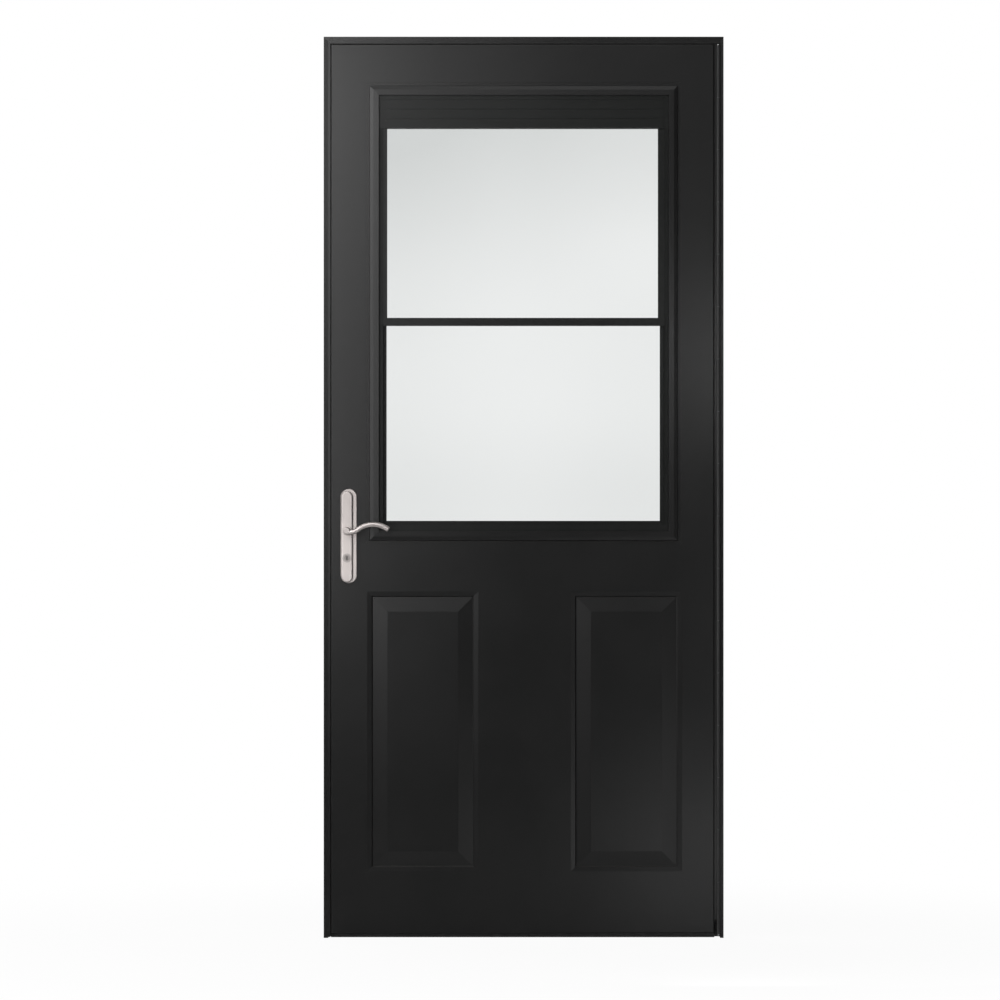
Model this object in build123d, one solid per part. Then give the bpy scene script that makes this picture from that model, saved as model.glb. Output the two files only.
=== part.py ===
from build123d import *
import math
import os

# A half-view storm door in its slim mounting frame, hinged on the right as seen from the street.
# Millimetres. +X runs to the right along the wall, +Y into the house, +Z up.
# The origin is at the foot of the hinge rail, on the face that is screwed to the doorway.
# Distances marked "from the latch side" start at the frame's left outer face.

# Mounting frame: two side rails and a head rail, each with a stop strip behind the leaf
frame_width = 902.0
frame_height = 2033.0
latch_lip_width = 10.0
hinge_lip_width = 7.5
head_lip_width = 11.0
lip_outer_proud = 0.5
lip_inner_set_back = 0.2
rail_wall = 1.6
stop_width = 32.0
stop_thickness = 1.6
stop_gap = 6.0
screw_hole_radius = 2.5
side_hole_count = 6
side_hole_foot_margin = 100.0
side_hole_head_margin = 133.0
head_hole_count = 3
head_hole_margin = 91.0

# Pile seals on the stop strips
seal_base_width = 8.0
seal_base_height = 1.5
seal_pile_width = 5.0
seal_clearance = 0.5
seal_from_stop_edge = 2.0

# Leaf
leaf_thickness = 38.0
latch_gap = 6.2
head_gap = 5.0
skin_bottom = 10.0
skin_thickness = 6.0
skin_edge_radius = 3.0

# Continuous hinge
knuckle_diameter = 8.0
hinge_groove = 5.0
hinge_pin_diameter = 3.2
hinge_pin_clearance = 0.05
barrel_proud = 2.0
flap_thickness = 1.2
flap_depth = 38.0
knuckle_count = 17
knuckle_end_gap = 0.4
knuckle_notch = 0.6
hinge_end_margin = 8.0
hinge_step_set_back = 1.5
pin_head_height = 2.0
pin_head_diameter = 5.2

# Mouldings of the leaf: margins of flat skin left round the window surround and the raised panels
lock_margin = 80.0
hinge_margin = 75.3
top_margin = 87.5
surround_bottom = 889.5

# Window surround, from the outside in: a groove in the skin, a steep foot, a gentle rise and a nearly flat crown
surround_groove_width = 7.0
surround_seat_depth = 1.5
surround_foot_width = 1.0
surround_foot_height = 3.5
surround_rise_width = 8.0
surround_rise_height = 5.0
surround_crown_width = 12.0
surround_crown_height = 5.4
surround_leg_width = 14.0
surround_head_leg_width = 10.0
surround_leg_depth = 4.0

# Screen cassette above the upper glass, with its pull bar and the catch at its left end
cassette_height = 74.5
cassette_end_width = 12.0
cassette_face_set_back = 2.0
cassette_groove_width = 1.6
cassette_groove_depth = 1.2
cassette_groove_count = 3
pull_bar_height = 11.0
pull_bar_proud = 1.2
catch_width = 7.0
catch_height = 18.0
catch_above_pull_bar = 6.0
catch_proud = 1.5

# Glass panes and the slim bars round them, as much of each bar as shows inside the surround
glass_thickness = 3.0
glass_bite = 5.0
upper_left_bar_show = 18.6
upper_right_bar_show = 23.7
lower_left_bar_show = 17.0
lower_right_bar_show = 19.2
lower_foot_bar_show = 22.9
upper_pane_height = 428.3
check_rail_height = 17.4
sash_thickness = 7.0
sash_clearance = 0.5

# Tracks round the sashes: faces that show inside the surround, and fins hidden behind it
track_wall = 1.6
track_face_width = 10.0
track_fin_reach = 12.0
sill_track_height = 8.0
sill_face_height = 14.5

# Raised panels below the window
panel_between = 208.5
panel_offset = 2.0
panel_bottom = 150.0
panel_below_surround = 107.9
panel_roll_width = 10.0
panel_roll_depth = 1.0
panel_step_width = 2.5
panel_groove_depth = 3.6
panel_bevel_width = 33.0
panel_field_proud = 1.0

# Foot of the leaf
expander_bottom = 8.0
expander_top = 40.0
expander_wall = 1.6
sweep_bottom = 1.0
sweep_base_height = 2.0
sweep_fin_thickness = 2.0
sweep_fin_inset = 2.0

# Handle set
handle_backset = 36.6
lever_height = 918.5
plate_width = 36.8
plate_height = 213.0
plate_above_lever = 95.0
plate_offset = 3.7
plate_thickness = 3.0
plate_edge_bevel = 1.2
field_width = 26.0
field_height = 206.0
field_above_lever = 89.5
field_rise = 8.0
field_edge_radius = 3.0
lever_neck_radius = 8.0
lever_neck_edge_radius = 2.5
lever_running_clearance = 0.05
lever_stand_off = 36.0
lever_collar_radius = 11.0
lever_collar_height = 3.0
lever_root_drop = 3.0
lever_root_radius = 36.0
lever_root_sweep = 44.0
lever_root_dip = 8.0
lever_bow_radius = 57.0
lever_bow_sweep = 74.0
lever_thickness = 11.5
lever_depth = 9.0
lever_tip_radius = 3.0
spindle_width = 7.0
spindle_socket = 14.0
spindle_fit = 0.05
spindle_bore_radius = 9.0

# Key cylinder and thumb turn
cylinder_below_lever = 61.3
cylinder_radius = 10.0
cylinder_proud = 2.5
cylinder_depth = 24.0
cylinder_bore_clearance = 0.3
plug_radius = 6.5
plug_running_clearance = 0.05
plug_proud = 0.5
keyway_width = 2.0
keyway_height = 8.0
keyway_depth = 8.0
tailpiece_width = 5.0
tailpiece_thickness = 2.0
turn_neck_radius = 5.0
turn_collar_radius = 8.5
turn_collar_height = 3.0
turn_blade_height = 28.0
turn_blade_width = 7.0
turn_blade_depth = 13.0
turn_blade_edge = 1.5

# Lock edge: faceplate in the stile and strike plate in the latch rail
faceplate_width = 24.0
faceplate_height = 150.0
faceplate_thickness = 2.0
bolt_height = 20.0
bolt_width = 12.0
bolt_length = 24.0
bolt_clearance = 0.3
strike_width = 26.0
strike_height = 110.0
strike_hole_margin = 1.0

# Places that follow from the sizes above
lip_back = lip_inner_set_back + rail_wall
rail_back = leaf_thickness + stop_gap
stop_back = rail_back + stop_thickness
head_bottom = frame_height - head_lip_width
leaf_top = head_bottom - head_gap
knuckle_radius = knuckle_diameter / 2
pin_x = -(hinge_lip_width + knuckle_radius)
pin_y = -barrel_proud
leaf_right = pin_x - knuckle_radius - hinge_groove
leaf_left = latch_lip_width + latch_gap - frame_width
hinge_bottom = hinge_end_margin
hinge_top = head_bottom - hinge_end_margin
core_front = skin_thickness
core_back = leaf_thickness - skin_thickness
mid_plane = leaf_thickness / 2
surround_left = leaf_left + lock_margin
surround_right = leaf_right - hinge_margin
surround_top = leaf_top - top_margin
foot_end = surround_groove_width + surround_foot_width
rise_end = foot_end + surround_rise_width
moulding_width = rise_end + surround_crown_width
opening_left = surround_left + moulding_width
opening_right = surround_right - moulding_width
opening_bottom = surround_bottom + moulding_width
opening_top = surround_top - moulding_width
hole_left = opening_left - surround_leg_width
hole_right = opening_right + surround_leg_width
hole_bottom = opening_bottom - surround_leg_width
hole_top = opening_top + surround_head_leg_width
cassette_bottom = opening_top - cassette_height
sill_track_top = hole_bottom + sill_track_height
sill_face_top = opening_bottom + sill_face_height
upper_pane_bottom = cassette_bottom - upper_pane_height
check_rail_bottom = upper_pane_bottom - check_rail_height
upper_pane_left = opening_left + upper_left_bar_show
upper_pane_right = opening_right - upper_right_bar_show
lower_pane_left = opening_left + lower_left_bar_show
lower_pane_right = opening_right - lower_right_bar_show
lower_pane_bottom = opening_bottom + lower_foot_bar_show
track_front = surround_leg_depth
track_back = leaf_thickness - surround_leg_depth
upper_sash_front = track_front + track_wall + sash_clearance
lower_sash_front = upper_sash_front + sash_thickness + 2 * sash_clearance + track_wall
sash_left = hole_left + track_wall + sash_clearance
sash_right = hole_right - track_wall - sash_clearance
handle_x = leaf_left + handle_backset
cylinder_height = lever_height - cylinder_below_lever
bolts_centre_height = (lever_height + cylinder_height) / 2
plate_face = -plate_thickness - field_rise


def from_latch(distance):
    """X of a point measured from the frame's left outer face."""
    return distance - frame_width


def block(x0, x1, y0, y1, z0, z1):
    """Box between two corners."""
    return Pos((x0 + x1) / 2, (y0 + y1) / 2, (z0 + z1) / 2) * Box(x1 - x0, y1 - y0, z1 - z0)


def upright(points, z0, z1):
    """Plan outline in X and Y, drawn up from z0 to z1."""
    return extrude(Pos(0, 0, z0) * make_face(Polyline(*points, close=True)), z1 - z0, dir=(0, 0, 1))


def elevation(points, y0, y1):
    """Front outline in X and Z, drawn back from y0 to y1."""
    wire = Polyline(*[(x, y0, z) for x, z in points], close=True)
    return extrude(make_face(wire), y1 - y0, dir=(0, 1, 0))


def lengthwise(points, x0, x1):
    """End outline in Y and Z, drawn along X from x0 to x1."""
    wire = Polyline(*[(x0, y, z) for y, z in points], close=True)
    return extrude(make_face(wire), x1 - x0, dir=(1, 0, 0))


def rod(radius, x, z, y0, y1):
    """Round rod or bore along Y."""
    return Pos(x, (y0 + y1) / 2, z) * Rot(90, 0, 0) * Cylinder(radius, y1 - y0)


def to_inside(solid):
    """Same piece on the house side of the leaf."""
    return mirror(solid, about=Plane.XZ.offset(-mid_plane))


# Mounting frame

def side_holes(x0, x1):
    """Screw holes up a side rail, through both of its walls."""
    spacing = (frame_height - side_hole_foot_margin - side_hole_head_margin) / (side_hole_count - 1)
    drill = Rot(0, 90, 0) * Cylinder(screw_hole_radius, x1 - x0)
    return [Pos((x0 + x1) / 2, mid_plane, side_hole_foot_margin + spacing * i) * drill
            for i in range(side_hole_count)]


def side_rail(outer, lip_width, inward):
    """Box rail with a face that slopes to the leaf, mitred at the top to meet the head rail."""
    inner = outer + inward * lip_width
    outer_wall = outer + inward * rail_wall
    inner_wall = inner - inward * rail_wall
    section = [(outer, -lip_outer_proud), (inner, lip_inner_set_back), (inner, rail_back), (outer, rail_back)]
    hollow = [(outer_wall, lip_back), (inner_wall, lip_back),
              (inner_wall, rail_back - rail_wall), (outer_wall, rail_back - rail_wall)]
    rail = upright(section, 0, frame_height) - upright(hollow, 0, frame_height)
    mitre = [(outer, frame_height), (inner, head_bottom), (inner, frame_height)]
    rail -= elevation(mitre, -lip_outer_proud, lip_back)
    for hole in side_holes(min(outer, inner), max(outer, inner)):
        rail -= hole
    return rail


def hinge_rail():
    return side_rail(0, hinge_lip_width, -1)


def latch_rail():
    """Side rail with a window in its inner wall for the strike plate."""
    return side_rail(-frame_width, latch_lip_width, 1) - strike_blank()


def head_rail():
    """Top rail: its face is mitred to the side rails, its box stands between them."""
    left, right = -frame_width, 0
    box_left, box_right = from_latch(latch_lip_width), -hinge_lip_width
    face = [(-lip_outer_proud, frame_height), (lip_inner_set_back, head_bottom),
            (lip_back, head_bottom), (lip_back, frame_height)]
    rail = lengthwise(face, left, right)
    for end, shoulder in ((left, box_left), (right, box_right)):
        mitre = [(end, frame_height), (end, head_bottom), (shoulder, head_bottom)]
        rail -= elevation(mitre, -lip_outer_proud, lip_back)
    rail += block(box_left, box_right, lip_back, rail_back, head_bottom, frame_height)
    rail -= block(box_left, box_right, lip_back, rail_back - rail_wall,
                  head_bottom + rail_wall, frame_height - rail_wall)
    spacing = (frame_width - 2 * head_hole_margin) / (head_hole_count - 1)
    drill = Cylinder(screw_hole_radius, head_lip_width)
    for i in range(head_hole_count):
        x = from_latch(head_hole_margin + spacing * i)
        rail -= Pos(x, mid_plane, (head_bottom + frame_height) / 2) * drill
    return rail


def side_stops():
    """Flat strips on the backs of the side rails that the leaf closes against."""
    hinge_side = block(-stop_width, 0, rail_back, stop_back, 0, frame_height)
    latch_side = block(-frame_width, from_latch(stop_width), rail_back, stop_back, 0, frame_height)
    return hinge_side + latch_side


def head_stop():
    return block(from_latch(stop_width), -stop_width, rail_back, stop_back,
                 frame_height - stop_width, frame_height)


def strike_blank():
    """Block that fills the inner wall of the latch rail behind the lock."""
    wall_face = from_latch(latch_lip_width)
    return block(wall_face - rail_wall, wall_face,
                 mid_plane - strike_width / 2, mid_plane + strike_width / 2,
                 bolts_centre_height - strike_height / 2, bolts_centre_height + strike_height / 2)


def strike_plate():
    """Plate that lies flush in the rail, with a hole for each bolt."""
    plate = strike_blank()
    wall_face = from_latch(latch_lip_width)
    half_width = bolt_width / 2 + strike_hole_margin
    half_height = bolt_height / 2 + strike_hole_margin
    for z in (lever_height, cylinder_height):
        plate -= block(wall_face - rail_wall, wall_face, mid_plane - half_width, mid_plane + half_width,
                       z - half_height, z + half_height)
    return plate


def seal_section(centre):
    """Pile seal across its length: a flat base on the stop strip and a narrower pile."""
    tip = leaf_thickness + seal_clearance
    base_front = rail_back - seal_base_height
    base_half = seal_base_width / 2
    pile_half = seal_pile_width / 2
    return [
        (centre - base_half, rail_back),
        (centre - base_half, base_front),
        (centre - pile_half, base_front),
        (centre - pile_half, tip),
        (centre + pile_half, tip),
        (centre + pile_half, base_front),
        (centre + base_half, base_front),
        (centre + base_half, rail_back),
    ]


def side_seals():
    """Pile seals up both side stops; the inner edge of each is a little way in from the strip's edge."""
    centre = stop_width - seal_from_stop_edge - seal_base_width / 2
    hinge_side = upright(seal_section(-centre), 0, head_bottom)
    return hinge_side + upright(seal_section(from_latch(centre)), 0, head_bottom)


def head_seal():
    """Pile seal along the top, between the two side seals."""
    centre = frame_height - stop_width + seal_from_stop_edge + seal_base_width / 2
    points = [(y, z) for z, y in seal_section(centre)]
    end = stop_width - seal_from_stop_edge
    return lengthwise(points, from_latch(end), -end)


# Continuous hinge

def knuckle_length():
    return (hinge_top - hinge_bottom) / knuckle_count


def hinge_flap(side, first):
    """One flap of the continuous hinge with every second knuckle, counted from first.

    side is 1 for the flap on the rail and -1 for the flap on the leaf.
    """
    near = pin_x + side * (knuckle_radius - flap_thickness)
    far = pin_x + side * knuckle_radius
    low, high = min(near, far), max(near, far)
    notch_back = pin_y + knuckle_radius + knuckle_notch
    flap = block(low, high, notch_back, pin_y + flap_depth, hinge_bottom, hinge_top)
    bore = Cylinder(hinge_pin_diameter / 2 + hinge_pin_clearance, knuckle_length())
    for i in range(first, knuckle_count, 2):
        z0 = hinge_bottom + knuckle_length() * i + knuckle_end_gap / 2
        z1 = hinge_bottom + knuckle_length() * (i + 1) - knuckle_end_gap / 2
        centre = Pos(pin_x, pin_y, (z0 + z1) / 2)
        flap += block(low, high, pin_y, notch_back, z0, z1) + centre * Cylinder(knuckle_radius, z1 - z0)
        flap -= centre * bore
    return flap


def fixed_hinge_flap():
    """Flap on the hinge rail, drilled to match the rail's screws."""
    flap = hinge_flap(1, 0)
    face = -hinge_lip_width
    for hole in side_holes(face - flap_thickness, face):
        flap -= hole
    return flap


def moving_hinge_flap():
    return hinge_flap(-1, 1)


def hinge_pin():
    """Long pin with a head at each end that keeps it in the barrel."""
    shaft = Cylinder(hinge_pin_diameter / 2, hinge_top - hinge_bottom)
    head = Cylinder(pin_head_diameter / 2, pin_head_height)
    pin = Pos(pin_x, pin_y, (hinge_bottom + hinge_top) / 2) * shaft
    pin += Pos(pin_x, pin_y, hinge_bottom - pin_head_height / 2) * head
    return pin + Pos(pin_x, pin_y, hinge_top + pin_head_height / 2) * head


# Leaf

def hinge_stile():
    """Stile with the step that the moving flap is screwed to."""
    step = pin_x - knuckle_radius
    step_back = pin_y + flap_depth
    section = [
        (hole_right, core_front),
        (leaf_right, core_front),
        (leaf_right, hinge_step_set_back),
        (step, hinge_step_set_back),
        (step, step_back),
        (leaf_right, step_back),
        (leaf_right, core_back),
        (hole_right, core_back),
    ]
    return upright(section, expander_top, leaf_top)


def lock_stile():
    """Stile with the mortise for the lock and the bores of the handle set."""
    stile = block(leaf_left, hole_left, core_front, core_back, expander_top, leaf_top)
    stile -= faceplate_blank()
    for z in (lever_height, cylinder_height):
        stile -= bolt(z, bolt_clearance)
    stile -= handle_bores()
    return stile


def top_rail():
    return block(hole_left, hole_right, core_front, core_back, hole_top, leaf_top)


def lower_core():
    return block(hole_left, hole_right, core_front, core_back,
                 expander_top, hole_bottom)


def handle_bores():
    """Bores through the leaf for the spindle and for the key cylinder."""
    bores = rod(spindle_bore_radius, handle_x, lever_height, 0, leaf_thickness)
    return bores + rod(cylinder_radius + cylinder_bore_clearance, handle_x, cylinder_height, 0, leaf_thickness)


def rectangle_loft(lower, upper):
    """Straight-sided solid between two upright rectangles, each (x0, x1, z0, z1, y)."""
    faces = []
    for x0, x1, z0, z1, y in (lower, upper):
        corners = [(x0, y, z0), (x1, y, z0), (x1, y, z1), (x0, y, z1)]
        faces.append(make_face(Polyline(*corners, close=True)))
    return loft(faces, ruled=True)


def grown(rectangle, by, y):
    """Upright rectangle made larger on all four sides, at depth y."""
    x0, x1, z0, z1 = rectangle
    return (x0 - by, x1 + by, z0 - by, z1 + by, y)


def moulded_skin():
    """Street face of the leaf: rounded edges, a seat for the surround and two moulded raised panels."""
    skin = block(leaf_left, leaf_right, 0, skin_thickness, skin_bottom, leaf_top)
    skin = fillet(skin.faces().sort_by(Axis.Y)[0].edges(), skin_edge_radius)
    skin -= block(surround_left, surround_right, 0, surround_seat_depth, surround_bottom, surround_top)
    skin -= block(hole_left, hole_right, 0, skin_thickness, hole_bottom, hole_top)
    panel_top = surround_bottom - panel_below_surround
    panel_width = (surround_right - surround_left - panel_between) / 2
    groove_inset = panel_roll_width + panel_step_width
    for start in (surround_left, surround_right - panel_width):
        left = start + panel_offset
        edge = (left, left + panel_width, panel_bottom, panel_top)
        rim = grown(edge, 0, 0)
        step = grown(edge, -panel_roll_width, panel_roll_depth)
        groove = grown(edge, -groove_inset, panel_groove_depth)
        field = grown(edge, -groove_inset - panel_bevel_width, -panel_field_proud)
        skin -= rectangle_loft(rim, step) + rectangle_loft(step, groove)
        skin += rectangle_loft(groove, field)
    return skin - handle_bores()


def outer_skin():
    return moulded_skin()


def inner_skin():
    """House face of the leaf, moulded as the street face is."""
    return to_inside(moulded_skin())


# Window

def surround_lines():
    """Lines where the surround's face bends, from its foot in, as rectangles (left, right, bottom, top)."""
    lines = []
    for inset in (surround_groove_width, foot_end, rise_end, moulding_width):
        lines.append((surround_left + inset, surround_right - inset,
                      surround_bottom + inset, surround_top - inset))
    return lines


def surround_member(side):
    """One side of the surround, mitred at both ends: a moulded band and a leg into the window hole."""
    left, right, bottom, top = range(4)
    ends = {
        "left": ((left, bottom), (left, top)),
        "right": ((right, bottom), (right, top)),
        "sill": ((left, bottom), (right, bottom)),
        "top": ((left, top), (right, top)),
    }[side]
    lines = surround_lines()
    foot = lines[0]
    one_end, other_end = [[(line[x], line[z]) for line in lines] for x, z in ends]
    mitred = elevation(one_end + other_end[::-1], -surround_crown_height, surround_leg_depth)
    across = 0 if side in ("left", "right") else 1
    heights = (-surround_seat_depth, surround_foot_height, surround_rise_height, surround_crown_height)
    section = [(point[across], -height) for point, height in zip(one_end, heights)]
    section.append((one_end[-1][across], surround_seat_depth))
    if across == 0:
        band = upright(section, foot[bottom], foot[top])
    else:
        band = lengthwise([(y, z) for z, y in section], foot[left], foot[right])
    hole = block(hole_left, hole_right, surround_seat_depth, surround_leg_depth, hole_bottom, hole_top)
    return (mitred & band) + (mitred & hole)


def screen_cassette():
    """Housing of the roll-up screen: set-back ends, a grooved face, a pull bar along its foot and a small catch."""
    face_left = opening_left + cassette_end_width
    face_right = opening_right - cassette_end_width
    pull_bar_top = cassette_bottom + pull_bar_height
    catch_bottom = pull_bar_top + catch_above_pull_bar
    body = block(hole_left, hole_right, track_front, track_back, cassette_bottom, hole_top)
    body += block(face_left, face_right, cassette_face_set_back, track_front, cassette_bottom, opening_top)
    body += block(face_left, face_right, cassette_face_set_back - pull_bar_proud, track_front,
                  cassette_bottom, pull_bar_top)
    for i in range(cassette_groove_count):
        z = pull_bar_top + (opening_top - pull_bar_top) * (i + 0.5) / cassette_groove_count
        body -= block(face_left, face_right,
                      cassette_face_set_back, cassette_face_set_back + cassette_groove_depth,
                      z - cassette_groove_width / 2, z + cassette_groove_width / 2)
    body += block(face_left, face_left + catch_width,
                  cassette_face_set_back - catch_proud, track_front,
                  catch_bottom, catch_bottom + catch_height)
    return body - upper_glass()


def window_tracks():
    """Left and right tracks: a web on the stile, a face on each side of the leaf and two fins for the sashes."""
    tracks = None
    face_reach = surround_leg_width + track_face_width
    between = lower_sash_front - sash_clearance - track_wall
    behind = lower_sash_front + sash_thickness + sash_clearance
    ribs = (
        (track_front, face_reach, sill_face_top),
        (between, track_fin_reach, sill_track_top),
        (behind, track_fin_reach, sill_track_top),
        (track_back - track_wall, face_reach, sill_face_top),
    )
    for outer, inward in ((hole_left, 1), (hole_right, -1)):
        web = sorted((outer, outer + inward * track_wall))
        track = block(*web, track_front, track_back, sill_track_top, cassette_bottom)
        for y, reach, z in ribs:
            span = sorted((outer, outer + inward * reach))
            track += block(*span, y, y + track_wall, z, cassette_bottom)
        tracks = track if tracks is None else tracks + track
    return tracks


def sill_track():
    """Track under the lower sash, with a face on each side of the leaf that stands up between the side tracks."""
    track = block(hole_left, hole_right, track_front, track_back,
                  hole_bottom, sill_track_top)
    for y in (track_front, track_back - track_wall):
        track += block(hole_left + track_wall, hole_right - track_wall, y, y + track_wall,
                       sill_track_top, sill_face_top)
    return track


def pane(left, right, bottom, top, sash_front):
    """Glass pane: what shows of it, and the margin that is hidden in the bars round it."""
    front = sash_front + (sash_thickness - glass_thickness) / 2
    return block(left - glass_bite, right + glass_bite, front, front + glass_thickness,
                 bottom - glass_bite, top + glass_bite)


def upper_glass():
    return pane(upper_pane_left, upper_pane_right, upper_pane_bottom, cassette_bottom, upper_sash_front)


def lower_glass():
    return pane(lower_pane_left, lower_pane_right, lower_pane_bottom, check_rail_bottom, lower_sash_front)


def sash_bar(left, right, bottom, top, sash_front):
    """Straight bar of a sash."""
    return block(left, right, sash_front, sash_front + sash_thickness, bottom, top)


def upper_sash_stiles():
    bars = sash_bar(sash_left, upper_pane_left, upper_pane_bottom, cassette_bottom, upper_sash_front)
    bars += sash_bar(upper_pane_right, sash_right, upper_pane_bottom, cassette_bottom, upper_sash_front)
    return bars - upper_glass()


def check_rail():
    """Meeting rail at the foot of the upper sash."""
    return sash_bar(sash_left, sash_right, check_rail_bottom, upper_pane_bottom, upper_sash_front) - upper_glass()


def lower_sash_stiles():
    bars = sash_bar(sash_left, lower_pane_left, lower_pane_bottom, check_rail_bottom, lower_sash_front)
    bars += sash_bar(lower_pane_right, sash_right, lower_pane_bottom, check_rail_bottom, lower_sash_front)
    return bars - lower_glass()


def lower_sash_rails():
    """Top and bottom bars of the lower sash."""
    foot = sill_track_top + sash_clearance
    bars = sash_bar(sash_left, sash_right, check_rail_bottom, upper_pane_bottom, lower_sash_front)
    bars += sash_bar(sash_left, sash_right, foot, lower_pane_bottom, lower_sash_front)
    return bars - lower_glass()


# Foot of the leaf

def bottom_expander():
    """Channel between the skins at the foot of the leaf, open towards the core."""
    outline = block(leaf_left, leaf_right, core_front, core_back, expander_bottom, expander_top)
    return outline - block(leaf_left, leaf_right, core_front + expander_wall, core_back - expander_wall,
                           expander_bottom + expander_wall, expander_top)


def door_sweep():
    """Soft sweep under the expander: a flat base with a fin along each edge."""
    base_bottom = expander_bottom - sweep_base_height
    sweep = block(leaf_left, leaf_right, core_front, core_back, base_bottom, expander_bottom)
    for y in (core_front + sweep_fin_inset, core_back - sweep_fin_inset - sweep_fin_thickness):
        sweep += block(leaf_left, leaf_right, y, y + sweep_fin_thickness, sweep_bottom, base_bottom)
    return sweep


# Handle set

def pill(width, height, x, top, y0, y1):
    """Upright plate with round ends, hung from its top."""
    place = Plane(origin=(x, y1, top - height / 2), x_dir=(1, 0, 0), z_dir=(0, -1, 0))
    return extrude(place * SlotOverall(height, width, rotation=90), y1 - y0)


def escutcheon():
    """Street plate of the handle set: a flat pill, and a narrower raised pill on the lever's axis."""
    plate = pill(plate_width, plate_height, handle_x + plate_offset, lever_height + plate_above_lever,
                 -plate_thickness, 0)
    plate = chamfer(plate.faces().sort_by(Axis.Y)[0].edges(), plate_edge_bevel)
    field = pill(field_width, field_height, handle_x, lever_height + field_above_lever,
                 plate_face, -plate_thickness)
    field = fillet(field.faces().sort_by(Axis.Y)[0].edges(), field_edge_radius)
    return plate + field - rod(lever_neck_radius + lever_running_clearance, handle_x, lever_height, plate_face, 0)


def outer_escutcheon():
    return escutcheon() - rod(cylinder_radius, handle_x, cylinder_height, plate_face, 0)


def inner_escutcheon():
    """House plate of the handle set, bored for the thumb turn."""
    return to_inside(escutcheon() - rod(turn_neck_radius + plug_running_clearance, handle_x, cylinder_height,
                                        plate_face, 0))


def lever_arm(arm_y):
    """Arm that dips a little at its root, bows up and comes down to the tip, in two arcs."""
    place = Plane(origin=(handle_x, arm_y, lever_height), x_dir=(1, 0, 0), z_dir=(0, -1, 0))
    dip = math.radians(lever_root_dip)
    root = JernArc((0, -lever_root_drop), (math.cos(dip), -math.sin(dip)), lever_root_radius, lever_root_sweep)
    bow = JernArc(root @ 1, root % 1, lever_bow_radius, -lever_bow_sweep)
    path = place * (root + bow)
    section = Plane(origin=path @ 0, x_dir=(0, 1, 0), z_dir=path % 0)
    arm = sweep(section * Ellipse(lever_depth / 2, lever_thickness / 2), path=path)
    return fillet(arm.faces().sort_by(Axis.X)[-1].edges(), lever_tip_radius)


def lever():
    """Street lever: a neck in the plate, a collar against it and the arm across the leaf."""
    arm_y = plate_face - lever_stand_off
    collar_face = plate_face - lever_running_clearance
    neck = rod(lever_neck_radius, handle_x, lever_height, arm_y - lever_depth / 2, 0)
    neck = fillet(neck.faces().sort_by(Axis.Y)[0].edges(), lever_neck_edge_radius)
    neck += rod(lever_collar_radius, handle_x, lever_height, collar_face - lever_collar_height, collar_face)
    half = spindle_width / 2 + spindle_fit
    socket = block(handle_x - half, handle_x + half, -spindle_socket, 0, lever_height - half, lever_height + half)
    return neck + lever_arm(arm_y) - socket


def outer_lever():
    return lever()


def inner_lever():
    return to_inside(lever())


def spindle():
    """Square bar that joins the two levers through the leaf."""
    half = spindle_width / 2
    return block(handle_x - half, handle_x + half, -spindle_socket, leaf_thickness + spindle_socket,
                 lever_height - half, lever_height + half)


def key_cylinder():
    """Cylinder body in the street plate, bored for its plug."""
    face = plate_face - cylinder_proud
    body = rod(cylinder_radius, handle_x, cylinder_height, face, cylinder_depth)
    return body - rod(plug_radius + plug_running_clearance, handle_x, cylinder_height, face, cylinder_depth)


def key_plug():
    """Turning plug with an upright keyway."""
    face = plate_face - cylinder_proud - plug_proud
    plug = rod(plug_radius, handle_x, cylinder_height, face, cylinder_depth)
    return plug - block(handle_x - keyway_width / 2, handle_x + keyway_width / 2, face, face + keyway_depth,
                        cylinder_height - keyway_height / 2, cylinder_height + keyway_height / 2)


def thumb_turn():
    """Thumb turn on the house side, with the flat tailpiece that reaches the plug."""
    collar_face = leaf_thickness - plate_face + lever_running_clearance
    blade_root = collar_face + turn_collar_height
    turn = rod(turn_neck_radius, handle_x, cylinder_height, leaf_thickness, collar_face)
    turn += rod(turn_collar_radius, handle_x, cylinder_height, collar_face, blade_root)
    blade = block(handle_x - turn_blade_width / 2, handle_x + turn_blade_width / 2,
                  blade_root, blade_root + turn_blade_depth,
                  cylinder_height - turn_blade_height / 2, cylinder_height + turn_blade_height / 2)
    turn += chamfer(blade.faces().sort_by(Axis.Y)[-1].edges(), turn_blade_edge)
    return turn + block(handle_x - tailpiece_thickness / 2, handle_x + tailpiece_thickness / 2,
                        cylinder_depth, leaf_thickness,
                        cylinder_height - tailpiece_width / 2, cylinder_height + tailpiece_width / 2)


# Lock edge

def faceplate_blank():
    return block(leaf_left, leaf_left + faceplate_thickness,
                 mid_plane - faceplate_width / 2, mid_plane + faceplate_width / 2,
                 bolts_centre_height - faceplate_height / 2, bolts_centre_height + faceplate_height / 2)


def bolt(z, margin=0.0):
    """Bolt drawn back flush with the faceplate, or its pocket when a margin is given."""
    return block(leaf_left, leaf_left + bolt_length + margin,
                 mid_plane - bolt_width / 2 - margin, mid_plane + bolt_width / 2 + margin,
                 z - bolt_height / 2 - margin, z + bolt_height / 2 + margin)


def lock_faceplate():
    plate = faceplate_blank()
    for z in (lever_height, cylinder_height):
        plate -= bolt(z, bolt_clearance)
    return plate


def lock_bolts():
    """Latch bolt and dead bolt."""
    return bolt(lever_height) + bolt(cylinder_height)


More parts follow.
